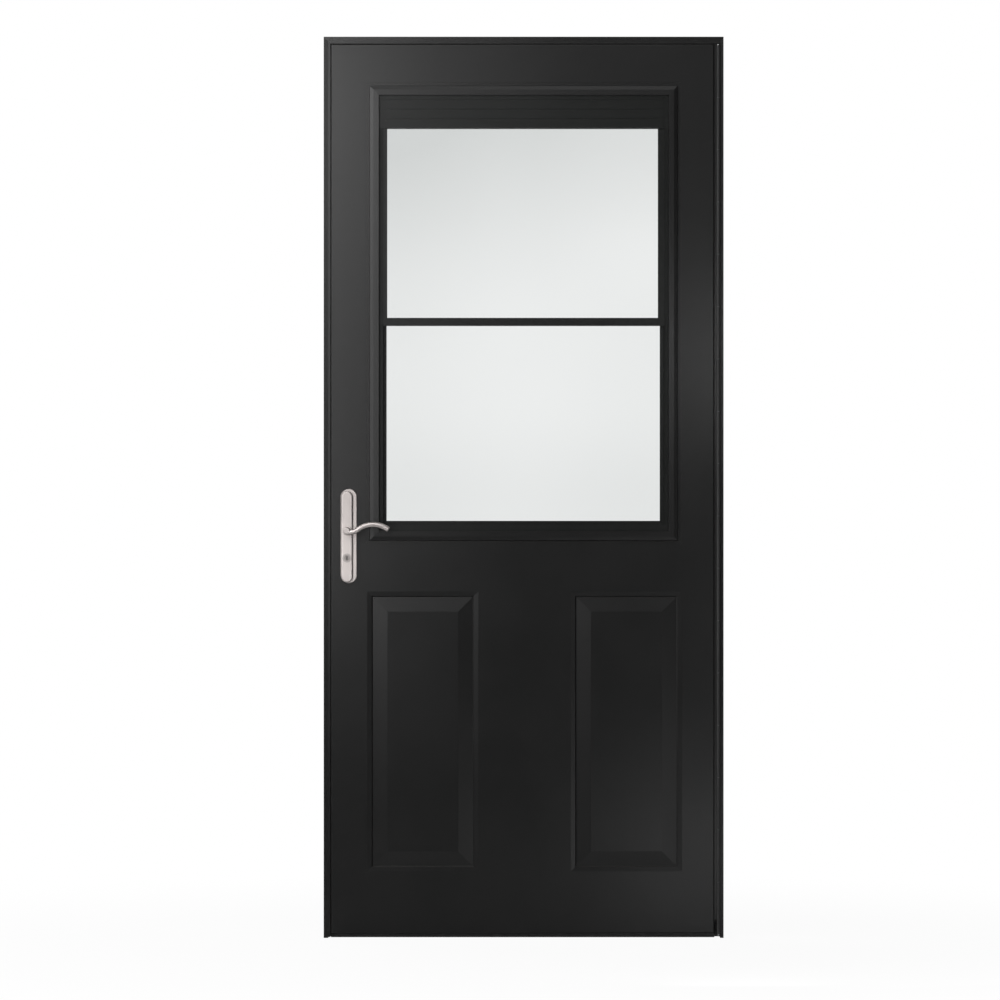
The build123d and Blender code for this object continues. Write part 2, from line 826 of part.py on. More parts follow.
nodes = {
    "hinge_rail": hinge_rail,
    "latch_rail": latch_rail,
    "head_rail": head_rail,
    "strike_plate": strike_plate,
    "side_stops": side_stops,
    "head_stop": head_stop,
    "side_seals": side_seals,
    "head_seal": head_seal,
    "fixed_hinge_flap": fixed_hinge_flap,
    "moving_hinge_flap": moving_hinge_flap,
    "hinge_pin": hinge_pin,
    "hinge_stile": hinge_stile,
    "lock_stile": lock_stile,
    "top_rail": top_rail,
    "lower_core": lower_core,
    "outer_skin": outer_skin,
    "inner_skin": inner_skin,
    "screen_cassette": screen_cassette,
    "window_tracks": window_tracks,
    "sill_track": sill_track,
    "upper_glass": upper_glass,
    "lower_glass": lower_glass,
    "upper_sash_stiles": upper_sash_stiles,
    "check_rail": check_rail,
    "lower_sash_stiles": lower_sash_stiles,
    "lower_sash_rails": lower_sash_rails,
    "bottom_expander": bottom_expander,
    "door_sweep": door_sweep,
    "outer_escutcheon": outer_escutcheon,
    "inner_escutcheon": inner_escutcheon,
    "outer_lever": outer_lever,
    "inner_lever": inner_lever,
    "spindle": spindle,
    "key_cylinder": key_cylinder,
    "key_plug": key_plug,
    "thumb_turn": thumb_turn,
    "lock_faceplate": lock_faceplate,
    "lock_bolts": lock_bolts,
}

os.makedirs("parts", exist_ok=True)
for name, make in nodes.items():
    export_step(make(), f"parts/{name}.step")
for side in ("left", "right", "sill", "top"):
    member = surround_member(side)
    export_step(member, f"parts/outer_surround_{side}.step")
    export_step(to_inside(member), f"parts/inner_surround_{side}.step")
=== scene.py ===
import math

import bmesh
import bpy
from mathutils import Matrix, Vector


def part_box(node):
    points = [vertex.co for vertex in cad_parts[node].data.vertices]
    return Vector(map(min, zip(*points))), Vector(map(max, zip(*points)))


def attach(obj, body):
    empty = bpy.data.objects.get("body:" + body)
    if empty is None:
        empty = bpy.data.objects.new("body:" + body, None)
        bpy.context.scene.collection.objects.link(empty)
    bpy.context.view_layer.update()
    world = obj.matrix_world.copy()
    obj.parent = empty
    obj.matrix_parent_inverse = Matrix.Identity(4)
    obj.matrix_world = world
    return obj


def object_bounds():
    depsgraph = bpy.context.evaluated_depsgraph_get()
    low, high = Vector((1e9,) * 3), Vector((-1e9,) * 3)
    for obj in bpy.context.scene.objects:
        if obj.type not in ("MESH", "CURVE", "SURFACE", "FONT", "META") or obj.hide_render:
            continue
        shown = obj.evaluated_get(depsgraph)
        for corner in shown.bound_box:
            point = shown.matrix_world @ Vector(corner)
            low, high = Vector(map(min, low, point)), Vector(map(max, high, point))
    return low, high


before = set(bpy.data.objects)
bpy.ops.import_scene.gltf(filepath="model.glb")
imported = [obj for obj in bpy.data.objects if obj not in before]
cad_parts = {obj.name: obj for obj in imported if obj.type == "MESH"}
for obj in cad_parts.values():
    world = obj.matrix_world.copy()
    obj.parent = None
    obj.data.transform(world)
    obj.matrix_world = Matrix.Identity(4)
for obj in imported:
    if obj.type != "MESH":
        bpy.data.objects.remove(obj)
cad_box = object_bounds()
MM = 0.001


# Shader building

# Places of the colour sockets on a Mix node
MIX_FIRST, MIX_SECOND, MIX_RESULT = 6, 7, 2


class Term:
    """One output of a shader tree; sums, differences and products of terms add the Math nodes for them."""

    def __init__(self, shader, socket):
        self.shader = shader
        self.socket = socket

    def math(self, operation, first, second):
        return self.shader.add("Math", {"operation": operation}, {0: first, 1: second})

    def __add__(self, other):
        return self.math("ADD", self, other)

    def __sub__(self, other):
        return self.math("SUBTRACT", self, other)

    def __rsub__(self, other):
        return self.math("SUBTRACT", other, self)

    def __mul__(self, other):
        return self.math("MULTIPLY", self, other)

    __radd__ = __add__
    __rmul__ = __mul__


class Shader:
    """The node tree of a material or of the world."""

    def __init__(self, tree):
        self.tree = tree
        tree.nodes.clear()

    def add(self, kind, settings=None, inputs=None, output=0):
        """Adds a node: its settings first, then the values or links of its sockets."""
        node = self.tree.nodes.new("ShaderNode" + kind)
        for name, value in (settings or {}).items():
            setattr(node, name, value)
        for name, value in (inputs or {}).items():
            socket = node.inputs[name]
            if isinstance(value, Term):
                self.tree.links.new(value.socket, socket)
            else:
                socket.default_value = value
        return Term(self, node.outputs[output]) if node.outputs else None

    def where(self):
        """Place on the piece, in metres, in the door's own frame."""
        return self.add("TexCoord", output="Object")

    def noise(self, place, scale, detail=2.0, roughness=0.5):
        """Noise with about scale spots to a metre, and detail finer layers over them."""
        return self.add("TexNoise", None, {"Vector": place, "Scale": scale, "Detail": detail,
                                           "Roughness": roughness})

    def streaks(self, place, axis, along, across, detail=2.0, roughness=0.5):
        """Noise drawn out along one axis, with its spots to a metre along that axis and across it."""
        spots = [across, across, across]
        spots["XYZ".index(axis)] = along
        drawn_out = self.add("VectorMath", {"operation": "MULTIPLY"}, {0: place, 1: spots})
        return self.noise(drawn_out, 1.0, detail, roughness)

    def band(self, value, low, high):
        """0 below low, 1 above high, and a smooth rise between them."""
        return self.add("MapRange", {"interpolation_type": "SMOOTHSTEP"},
                        {"Value": value, "From Min": low, "From Max": high})

    def part(self, vector, axis):
        """One axis of a vector."""
        return self.add("SeparateXYZ", None, {0: vector}, output=axis)

    def upward(self):
        """How far the surface faces up."""
        return self.part(self.add("NewGeometry", output="Normal"), "Z")

    def ray(self, kind):
        """1 for rays of one kind, such as Camera, and 0 for others."""
        return self.add("LightPath", output=f"Is {kind} Ray")

    def tint(self, share, first, second):
        """Colour between first at share 0 and second at share 1."""
        colours = {MIX_FIRST: self.rgba(first), MIX_SECOND: self.rgba(second)}
        return self.add("Mix", {"data_type": "RGBA"}, {0: share, **colours}, MIX_RESULT)

    @staticmethod
    def rgba(colour):
        return colour if isinstance(colour, Term) else (*colour, 1.0)

    def bump(self, height, depth, strength=1.0, under=None):
        """Normal of a relief that is depth high, laid over another normal where there is one."""
        inputs = {"Height": height, "Distance": depth, "Strength": strength}
        if under is not None:
            inputs["Normal"] = under
        return self.add("Bump", None, inputs)

    def surface(self, **sockets):
        """Principled surface, with socket names written with underscores for spaces."""
        inputs = {name.replace("_", " "): value for name, value in sockets.items()}
        shader = self.add("BsdfPrincipled", None, inputs)
        self.add("OutputMaterial", None, {"Surface": shader})


def new_finish(name):
    material = bpy.data.materials.new(name)
    material.use_nodes = True
    return material, Shader(material.node_tree)


def grey(value):
    return (value, value, value)


def shaded(colour, share):
    """Colour darkened to a share of its light."""
    return tuple(share * c for c in colour)


# Finishes

BLACK, WORN_BLACK = grey(0.0034), (0.0050, 0.0049, 0.0049)
SASH_BLACK, WORN_SASH_BLACK = (0.0050, 0.0058, 0.0052), (0.0070, 0.0078, 0.0072)
HINGE_BLACK, WORN_HINGE_BLACK = grey(0.038), grey(0.044)
SCREW_BLACK, WORN_SCREW_BLACK = grey(0.010), grey(0.016)
PALE_DUST = (0.05, 0.048, 0.045)
# The ring and the plug of the lock are the nickel darkened as painted shade: a shade over the ring, a dark
# recess at the plug
NICKEL, SHADED_RING_NICKEL, SHADED_PLUG_NICKEL = (0.66, 0.607, 0.587), (0.46, 0.425, 0.41), (0.33, 0.305, 0.295)
# Near-black painted inside the keyway as its shade
KEYWAY_PAINTED_SHADE = (0.012, 0.011, 0.010)
DULL_STEEL, CLEAN_STEEL = grey(0.46), grey(0.55)
# The darker glass tint stands for painted shade, with a little random haze
CLEAR_GLASS, HAZE_AND_SHADE_GLASS = (0.865, 0.88, 0.875), (0.66, 0.68, 0.675)
DARK_PILE, PALE_PILE = grey(0.012), grey(0.05)
DARK_CHIPS, PALE_CHIPS = (0.36, 0.25, 0.15), (0.60, 0.46, 0.30)

PEEL_DEPTH = 0.12 * MM
DIE_LINE_DEPTH = 0.08 * MM
BRUSH_DEPTH = 0.03 * MM
DRAWN_DEPTH = 0.04 * MM
FIBRE_DEPTH = 0.6 * MM
VINYL_LINE_DEPTH = 0.1 * MM
CHIP_DEPTH = 0.5 * MM


def satin_paint(name, paint, worn, smooth, rough, die_lines=None, shine=0.4):
    """Sprayed satin black: a fine orange peel, uneven gloss, and dust where the surface faces up.

    The roughness wanders between smooth and rough. An extruded piece has faint die lines along one axis.
    """
    material, s = new_finish(name)
    place = s.where()
    cloud = s.noise(place, scale=5.0, detail=3.0)
    peel = s.noise(place, scale=700.0)
    specks = s.band(s.noise(place, scale=350.0, detail=4.0), 0.3, 0.7)
    dust = s.band(s.upward(), 0.4, 0.95) * (specks * 0.3 + 0.7)
    coat = s.tint(s.band(cloud, 0.3, 0.7), paint, worn)
    colour = s.tint(dust * 0.6, coat, PALE_DUST)
    roughness = s.band(cloud, 0.25, 0.75) * (rough - smooth) + smooth + dust * 0.3
    normal = s.bump(peel, PEEL_DEPTH, strength=0.35)
    if die_lines:
        lines = s.streaks(place, die_lines, along=3.0, across=2600.0, detail=1.0)
        normal = s.bump(lines, DIE_LINE_DEPTH, strength=0.3, under=normal)
    s.surface(Base_Color=colour, Roughness=roughness, Normal=normal, Specular_IOR_Level=shine)
    return material


def brush_lines(s, place, axis):
    """Fine scratches of a face brushed along one axis."""
    return s.streaks(place, axis, along=14.0, across=3200.0, detail=3.0, roughness=0.6)


def brushed_nickel(name, axis, colour=NICKEL, smooth=0.32):
    """Satin nickel brushed along one axis, a little smudged, and painted darker towards the top of the handle
    plates as shade.
    """
    shade_from, shade_to = 0.84, 1.0
    material, s = new_finish(name)
    place = s.where()
    hair = brush_lines(s, place, axis)
    smudge = s.noise(place, scale=55.0, detail=3.0)
    brushed = s.tint(s.band(hair, 0.25, 0.75), shaded(colour, 0.9), colour)
    # Painted shade: the nickel darkens towards the top of the handle plates
    painted_top_shade = s.band(s.part(place, "Z"), shade_from, shade_to)
    tint = s.tint(painted_top_shade * 0.7, brushed, shaded(colour, 0.6))
    roughness = s.band(hair, 0.2, 0.8) * 0.08 + s.band(smudge, 0.4, 0.7) * 0.05 + smooth
    s.surface(Base_Color=tint, Metallic=1.0, Roughness=roughness,
              Normal=s.bump(hair, BRUSH_DEPTH, strength=0.4))
    return material


def key_nickel(name, colour):
    """Nickel of the lock's plug: worn dull by keys, and painted near-black inside the keyway as its shade."""
    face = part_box("key_plug")[0].y
    material, s = new_finish(name)
    place = s.where()
    hair = brush_lines(s, place, "Z")
    # Inside the keyway the colour goes to painted shade and stops being metal
    inside = s.band(s.part(place, "Y"), face + 0.3 * MM, face + 1.5 * MM)
    scuffs = s.band(s.noise(place, scale=900.0, detail=3.0), 0.4, 0.7)
    scuffed = s.tint(scuffs, colour, shaded(colour, 0.75))
    roughness = s.band(hair, 0.2, 0.8) * 0.1 + inside * 0.4 + 0.4
    s.surface(Base_Color=s.tint(inside, scuffed, KEYWAY_PAINTED_SHADE), Metallic=1 - inside, Roughness=roughness,
              Normal=s.bump(hair, BRUSH_DEPTH, strength=0.4))
    return material


def steel(name):
    """Plain bright steel, turned or drawn."""
    material, s = new_finish(name)
    grain = s.streaks(s.where(), "Z", along=60.0, across=1500.0)
    tint = s.tint(s.band(grain, 0.3, 0.7), DULL_STEEL, CLEAN_STEEL)
    s.surface(Base_Color=tint, Metallic=1.0, Roughness=s.band(grain, 0.2, 0.8) * 0.12 + 0.3,
              Normal=s.bump(grain, DRAWN_DEPTH, strength=0.4))
    return material


def window_glass(name):
    """Clear float glass, its tint painted by place as shade: darker at the head, at the foot and on the latch
    side, darker low and lighter high on the hinge side, with a faint random haze.
    """
    latch_end, middle, hinge_end = -0.78, -0.45, -0.16
    material, s = new_finish(name)
    place = s.where()
    height, across = s.part(place, "Z"), s.part(place, "X")
    # Painted shade by place on the glass: darker at the head, at the foot and on the latch side; on the hinge
    # side darker low down and lighter higher up
    head = s.band(height, 1.38, 1.95)
    foot = 1 - s.band(height, 0.98, 1.22)
    latch_side = (1 - s.band(across, latch_end, middle)) * (s.band(height, 1.28, 1.42) * 0.10 + 0.15)
    hinge_side = s.band(across, middle, hinge_end) * (0.12 - s.band(height, 1.36, 1.60) * 0.32)
    cloud = s.band(s.noise(place, scale=2.2), 0.2, 0.8)
    # A faint random haze joins the painted shade in the tint
    haze_and_painted_shade = head * 0.95 + foot * 0.22 + latch_side + hinge_side + cloud * 0.06
    s.surface(Base_Color=s.tint(haze_and_painted_shade, CLEAR_GLASS, HAZE_AND_SHADE_GLASS), Roughness=0.0, Transmission_Weight=1.0,
              IOR=1.45, Specular_IOR_Level=0.12)
    return material


def pile(name):
    """Woven pile of a weather seal: short dark fibres."""
    material, s = new_finish(name)
    place = s.where()
    fibre = s.streaks(place, "Y", along=250.0, across=3500.0)
    tuft = s.noise(place, scale=900.0)
    tint = s.tint(s.band(fibre * tuft, 0.1, 0.4), DARK_PILE, PALE_PILE)
    s.surface(Base_Color=tint, Roughness=0.95, Specular_IOR_Level=0.2, Sheen_Weight=0.3,
              Normal=s.bump(fibre, FIBRE_DEPTH, strength=0.8))
    return material


def vinyl(name, colour):
    """Extruded or moulded vinyl with faint lines along it and a little dust."""
    dusty = tuple(c + 0.03 for c in colour)
    material, s = new_finish(name)
    place = s.where()
    lines = s.streaks(place, "X", along=5.0, across=1800.0, detail=1.0)
    dust = s.band(s.noise(place, scale=60.0, detail=4.0), 0.45, 0.8)
    s.surface(Base_Color=s.tint(dust * 0.5, colour, dusty), Roughness=dust * 0.15 + 0.55,
              Specular_IOR_Level=0.4, Normal=s.bump(lines, VINYL_LINE_DEPTH, strength=0.5))
    return material


def board(name):
    """Wood-fibre core board."""
    material, s = new_finish(name)
    chips = s.streaks(s.where(), "X", along=160.0, across=700.0, detail=4.0)
    s.surface(Base_Color=s.tint(s.band(chips, 0.3, 0.7), DARK_CHIPS, PALE_CHIPS), Roughness=0.85,
              Normal=s.bump(chips, CHIP_DEPTH, strength=0.5))
    return material


leaf_paint = satin_paint("leaf_paint", BLACK, WORN_BLACK, 0.345, 0.375)
side_rail_paint = satin_paint("side_rail_paint", BLACK, WORN_BLACK, 0.34, 0.38, "Z")
head_rail_paint = satin_paint("head_rail_paint", BLACK, WORN_BLACK, 0.34, 0.38, "X")
hinge_paint = satin_paint("hinge_paint", HINGE_BLACK, WORN_HINGE_BLACK, 0.54, 0.60, "Z", 0.2)
sash_upright_paint = satin_paint("sash_upright_paint", SASH_BLACK, WORN_SASH_BLACK, 0.39, 0.45, "Z", 0.27)
sash_level_paint = satin_paint("sash_level_paint", SASH_BLACK, WORN_SASH_BLACK, 0.39, 0.45, "X", 0.27)
track_paint = satin_paint("track_paint", SASH_BLACK, WORN_SASH_BLACK, 0.44, 0.50, "Z", 0.21)
plate_nickel = brushed_nickel("plate_nickel", "Z")
# The lock's ring and plug take the nickel darkened as painted shade
ring_nickel_painted_shade = brushed_nickel("ring_nickel_painted_shade", "X", SHADED_RING_NICKEL)
plug_nickel_painted_shade = key_nickel("plug_nickel_painted_shade", SHADED_PLUG_NICKEL)
lever_nickel = brushed_nickel("lever_nickel", "X", smooth=0.42)
bright_steel = steel("bright_steel")
clear_glass = window_glass("window_glass")
seal_pile = pile("seal_pile")
sweep_vinyl = vinyl("sweep_vinyl", grey(0.018))
gasket_vinyl = vinyl("gasket_vinyl", grey(0.010))
cap_vinyl = vinyl("cap_vinyl", grey(0.014))
sash_nylon = vinyl("sash_nylon", grey(0.020))
seal_lip = satin_paint("seal_lip", BLACK, WORN_BLACK, 0.345, 0.375, "Z")
screw_black = satin_paint("screw_black", SCREW_BLACK, WORN_SCREW_BLACK, 0.30, 0.42)
core_board = board("core_board")

surrounds = [f"{face}_surround_{side}" for face in ("outer", "inner")
             for side in ("left", "right", "sill", "top")]
node_finishes = {
    leaf_paint: ["outer_skin", "inner_skin", "hinge_stile", "lock_stile", "top_rail", "bottom_expander",
                 *surrounds],
    side_rail_paint: ["hinge_rail", "latch_rail", "side_stops"],
    head_rail_paint: ["head_rail", "head_stop"],
    hinge_paint: ["fixed_hinge_flap", "moving_hinge_flap"],
    sash_upright_paint: ["upper_sash_stiles", "lower_sash_stiles"],
    sash_level_paint: ["screen_cassette", "sill_track", "check_rail", "lower_sash_rails"],
    track_paint: ["window_tracks"],
    plate_nickel: ["outer_escutcheon", "inner_escutcheon", "thumb_turn", "lock_faceplate", "lock_bolts",
                   "strike_plate"],
    ring_nickel_painted_shade: ["key_cylinder"],
    plug_nickel_painted_shade: ["key_plug"],
    lever_nickel: ["outer_lever", "inner_lever"],
    bright_steel: ["hinge_pin", "spindle"],
    clear_glass: ["upper_glass", "lower_glass"],
    seal_pile: ["side_seals", "head_seal"],
    sweep_vinyl: ["door_sweep"],
    core_board: ["lower_core"],
}
for finish, names in node_finishes.items():
    for name in names:
        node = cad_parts[name]
        node.data.materials.clear()
        node.data.materials.append(finish)


# Shapes

ROUND_SIDES = 24
SCREW_HEIGHT = 0.5 * MM


def skinned(shape, rings, closed=False):
    """Quads between rings of points that all have the same number of points."""
    rows = [[shape.verts.new(point) for point in ring] for ring in rings]
    for first, second in zip(rows, rows[1:] + (rows[:1] if closed else [])):
        for i in range(len(first)):
            j = (i + 1) % len(first)
            shape.faces.new((first[i], first[j], second[j], second[i]))
    return rows


def run(shape, section, along):
    """Closed section drawn along a vector, with both ends closed."""
    rows = skinned(shape, [section, [Vector(point) + Vector(along) for point in section]])
    shape.faces.new(rows[0][::-1])
    shape.faces.new(rows[1])


def mitred_ring(shape, left, right, bottom, top, profile):
    """Profile of (inset, depth) points run round an upright rectangle and mitred at its corners."""
    corners = ((left, 1, bottom, 1), (right, -1, bottom, 1), (right, -1, top, -1), (left, 1, top, -1))
    rings = [[(x + across * inset, depth, z + up * inset) for inset, depth in profile]
             for x, across, z, up in corners]
    skinned(shape, rings, closed=True)


def circle(radius, height):
    step = 2 * math.pi / ROUND_SIDES
    return [(radius * math.cos(step * i), radius * math.sin(step * i), height) for i in range(ROUND_SIDES)]


def cross(reach, half_width, height):
    """Outline of a cross recess, with as many points as a circle."""
    middle = (reach + half_width) / 2
    quarter = [(reach, 0), (reach, half_width), (middle, half_width), (half_width, half_width),
               (half_width, middle), (half_width, reach)]
    points = []
    for _ in range(4):
        points += [(x, y, height) for x, y in quarter]
        quarter = [(-y, x) for x, y in quarter]
    return points


def turned(shape, centre, facing, rings):
    """Rings about an axis that points out of the surface at centre, closed over the last ring."""
    turn = Vector(facing).to_track_quat("Z", "Y")
    rows = skinned(shape, [[Vector(centre) + turn @ Vector(point) for point in ring] for ring in rings])
    shape.faces.new(rows[-1])


def screw(shape, centre, facing, radius):
    """Low countersunk screw head with a cross recess."""
    turned(shape, centre, facing, [
        circle(radius, 0.0),
        circle(0.94 * radius, 0.6 * SCREW_HEIGHT),
        circle(0.72 * radius, SCREW_HEIGHT),
        cross(0.54 * radius, 0.12 * radius, SCREW_HEIGHT),
        cross(0.40 * radius, 0.09 * radius, 0.1 * SCREW_HEIGHT)])


def screw_cap(shape, centre, facing, radius, height):
    """Low domed cap over a screw hole."""
    turned(shape, centre, facing, [
        circle(radius, 0.0),
        circle(0.95 * radius, 0.5 * height),
        circle(0.7 * radius, 0.85 * height),
        circle(0.3 * radius, height)])


def piece(name, shape, finish, body):
    """A finished shape as a piece that rides on a body, in the finish it is given."""
    bmesh.ops.recalc_face_normals(shape, faces=shape.faces)
    mesh = bpy.data.meshes.new(name)
    shape.to_mesh(mesh)
    shape.free()
    mesh.materials.append(finish)
    made = bpy.data.objects.new(name, mesh)
    bpy.context.scene.collection.objects.link(made)
    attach(made, body)


def evenly(first, last, count):
    """Values from first to last in even steps."""
    return [first + (last - first) * i / (count - 1) for i in range(count)]


# Small pieces on the solids

MID_PLANE = 19 * MM
GLASS_BITE = 5 * MM
FLAP_THICKNESS = 1.2 * MM
TO_LATCH_SIDE, TO_HINGE_SIDE, TO_HOUSE, DOWN = (-1, 0, 0), (1, 0, 0), (0, 1, 0), (0, 0, -1)


def glazing_gaskets(pane):
    """Soft lips on both faces of a pane, where it goes into its bars."""
    low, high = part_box(pane)
    left, right = low.x + GLASS_BITE, high.x - GLASS_BITE
    bottom, top = low.z + GLASS_BITE, high.z - GLASS_BITE
    # Inset from the bar and rise off the glass, in millimetres
    lip = ((0.0, 0.0), (0.0, 1.2), (0.15, 1.4), (0.35, 0.5), (0.35, 0.0))
    shape = bmesh.new()
    for face, outward in ((low.y, -1), (high.y, 1)):
        profile = [(inset * MM, face + outward * rise * MM) for inset, rise in lip]
        mitred_ring(shape, left, right, bottom, top, profile)
    piece(pane + "_gaskets", shape, gasket_vinyl, "leaf")


def gap_seals():
    """Lips on the latch rail and the head rail that cover the gap round the leaf.

    The lip of the head rail is that of the latch rail, cut down to its narrower gap.
    """
    latch_face, hinge_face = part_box("latch_rail")[1].x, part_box("hinge_rail")[0].x
    head_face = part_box("head_rail")[0].z
    # Reach out of the rail and depth behind the street face, in millimetres
    latch_reach, head_reach = 5.2, 4.6
    lip = ((0.0, 0.1), (5.0, 0.1), (latch_reach, 0.4), (latch_reach, 1.6), (4.2, 2.6), (1.4, 2.6), (1.4, 5.5),
           (0.0, 5.5))
    foot, top = 2 * MM, head_face - head_reach * MM
    upright = bmesh.new()
    run(upright, [(latch_face + reach * MM, depth * MM, foot) for reach, depth in lip], (0, 0, top - foot))
    piece("latch_gap_seal", upright, seal_lip, "frame")
    squeeze = head_reach / latch_reach
    level = bmesh.new()
    run(level, [(latch_face, depth * MM, head_face - squeeze * reach * MM) for reach, depth in lip],
        (hinge_face - latch_face, 0, 0))
    piece("head_gap_seal", level, seal_lip, "frame")


def flap_and_rail_screws():
    """Screws of the moving flap, and of both side rails, which at the hinge go through the fixed flap."""
    flap_screw, rail_screw = 3.6 * MM, 4.2 * MM
    moving_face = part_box("moving_hinge_flap")[0].x + FLAP_THICKNESS
    fixed_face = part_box("fixed_hinge_flap")[1].x - FLAP_THICKNESS
    latch_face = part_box("latch_rail")[1].x
    leaf_edge, rails = bmesh.new(), bmesh.new()
    for height in evenly(0.060, 1.960, 11):
        screw(leaf_edge, (moving_face, MID_PLANE, height), TO_HINGE_SIDE, flap_screw)
    for height in evenly(0.100, 1.900, 6):
        screw(rails, (fixed_face, MID_PLANE, height), TO_LATCH_SIDE, rail_screw)
        screw(rails, (latch_face, MID_PLANE, height), TO_HINGE_SIDE, rail_screw)
    piece("moving_flap_screws", leaf_edge, screw_black, "leaf")
    piece("rail_screws", rails, screw_black, "frame")


def lock_edge_screws():
    """Screws at both ends of the lock's faceplate and of the strike plate."""
    radius, faceplate_margin, strike_margin = 3.1 * MM, 8 * MM, 7 * MM
    faceplate_low, faceplate_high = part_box("lock_faceplate")
    strike_low, strike_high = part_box("strike_plate")
    faceplate, strike = bmesh.new(), bmesh.new()
    for height in (faceplate_low.z + faceplate_margin, faceplate_high.z - faceplate_margin):
        screw(faceplate, (faceplate_low.x, MID_PLANE, height), TO_LATCH_SIDE, radius)
    for height in (strike_low.z + strike_margin, strike_high.z - strike_margin):
        screw(strike, (strike_high.x, MID_PLANE, height), TO_HINGE_SIDE, radius)
    piece("lock_faceplate_screws", faceplate, bright_steel, "leaf")
    piece("strike_plate_screws", strike, bright_steel, "frame")


def handle_screws():
    """Two screws that clamp the handle plates together, and the grub screw under the house lever's hub."""
    radius, above_lever, below_lever = 3.8 * MM, 62 * MM, 98 * MM
    hub_from_plate, hub_radius = 16 * MM, 8 * MM
    low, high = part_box("spindle")
    axis = (low + high) / 2
    plate_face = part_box("inner_escutcheon")[1].y
    plates = bmesh.new()
    for height in (axis.z + above_lever, axis.z - below_lever):
        screw(plates, (axis.x, plate_face, height), TO_HOUSE, radius)
    piece("inner_plate_screws", plates, bright_steel, "leaf")
    grub = bmesh.new()
    turned(grub, (axis.x, plate_face + hub_from_plate, axis.z - hub_radius), DOWN, [
        circle(2.4 * MM, -0.5 * MM),
        circle(2.3 * MM, 0.25 * MM),
        circle(1.4 * MM, 0.25 * MM),
        circle(1.2 * MM, 0.0)])
    piece("inner_lever_grub_screw", grub, bright_steel, "lever")


def stop_screws():
    """Screws up the side stops and along the head stop, on the house side."""
    radius, side_inset, head_inset = 4.0 * MM, 16 * MM, 120 * MM
    low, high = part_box("side_stops")
    head_low, head_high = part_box("head_stop")
    shape = bmesh.new()
    for x in (low.x + side_inset, high.x - side_inset):
        for height in evenly(0.090, 1.950, 7):
            screw(shape, (x, high.y, height), TO_HOUSE, radius)
    for x in evenly(head_low.x + head_inset, head_high.x - head_inset, 3):
        screw(shape, (x, high.y, (head_low.z + head_high.z) / 2), TO_HOUSE, radius)
    piece("stop_screws", shape, screw_black, "frame")


def surround_caps():
    """Caps over the screws that draw the two halves of the surround together, on the house side."""
    radius, cap_height, sunk = 4.5 * MM, 1.0 * MM, 0.3 * MM
    edge_inset, upright_inset, level_inset = 15 * MM, 70 * MM, 140 * MM
    low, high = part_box("inner_surround_left")
    left, right = low.x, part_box("inner_surround_right")[1].x
    crown = high.y - sunk
    shape = bmesh.new()
    for x in (left + edge_inset, right - edge_inset):
        for z in evenly(low.z + upright_inset, high.z - upright_inset, 5):
            screw_cap(shape, (x, crown, z), TO_HOUSE, radius, cap_height)
    for z in (low.z + edge_inset, high.z - edge_inset):
        for x in evenly(left + level_inset, right - level_inset, 3):
            screw_cap(shape, (x, crown, z), TO_HOUSE, radius, cap_height)
    piece("surround_screw_caps", shape, cap_vinyl, "leaf")


def finger_latches():
    """Ribbed finger latches at both ends of the lower sash's top bar."""
    from_glass_end, above_bar_foot, latch_height = 12 * MM, 3 * MM, 11.5 * MM
    low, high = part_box("lower_glass")
    bar_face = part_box("lower_sash_rails")[1].y
    foot = high.z - GLASS_BITE + above_bar_foot
    # Place along the latch and rise off the bar, in millimetres
    plate, crest = 2.4, 3.6
    outline = [(0.0, 0.0), (0.0, 1.6), (1.0, plate), (6.0, plate)]
    for rib in evenly(8.0, 23.0, 6):
        outline += [(rib, plate), (rib + 0.6, crest), (rib + 1.8, crest), (rib + 2.4, plate)]
    outline += [(33.0, plate), (34.0, 1.6), (34.0, 0.0)]
    shape = bmesh.new()
    for end, inward in ((low.x + from_glass_end, 1), (high.x - from_glass_end, -1)):
        section = [(end + inward * along * MM, bar_face + rise * MM, foot) for along, rise in outline]
        run(shape, section, (0, 0, latch_height))
    piece("sash_finger_latches", shape, sash_nylon, "leaf")


def sash_lift():
    """Hooked finger lift in the middle of the lower sash's foot bar."""
    half_length, below_glass_edge = 60 * MM, 16 * MM
    low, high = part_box("lower_glass")
    bar_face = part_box("lower_sash_rails")[1].y
    foot = low.z + GLASS_BITE - below_glass_edge
    start = (low.x + high.x) / 2 - half_length
    # Reach off the bar and height, in millimetres
    hook = ((0.0, 0.0), (1.6, 0.0), (1.6, 8.0), (7.0, 8.0), (8.2, 9.2), (8.2, 12.5), (6.8, 12.5), (6.8, 10.0),
            (1.6, 10.0), (0.0, 10.0))
    shape = bmesh.new()
    run(shape, [(start, bar_face + out * MM, foot + up * MM) for out, up in hook], (2 * half_length, 0, 0))
    piece("sash_lift", shape, sash_level_paint, "leaf")


glazing_gaskets("upper_glass")
glazing_gaskets("lower_glass")
gap_seals()
flap_and_rail_screws()
lock_edge_screws()
handle_screws()
stop_screws()
surround_caps()
finger_latches()
sash_lift()


# Studio

# The middle of the photograph and the width that it shows, on the door's street face
CAMERA_X, CAMERA_Z = -0.5043, 0.9879
VIEW_WIDTH_AT_DOOR = 2.256
CAMERA_DISTANCE = 12.0
SENSOR_WIDTH_MM = 36.0
FLOOR_RADIUS, FLOOR_SIDES = 30.0, 96
NEAR_DOOR, FAR_FROM_DOOR = 0.6, 2.2
SHADED_SHARE = 0.06
WORLD_LIGHT = 0.01


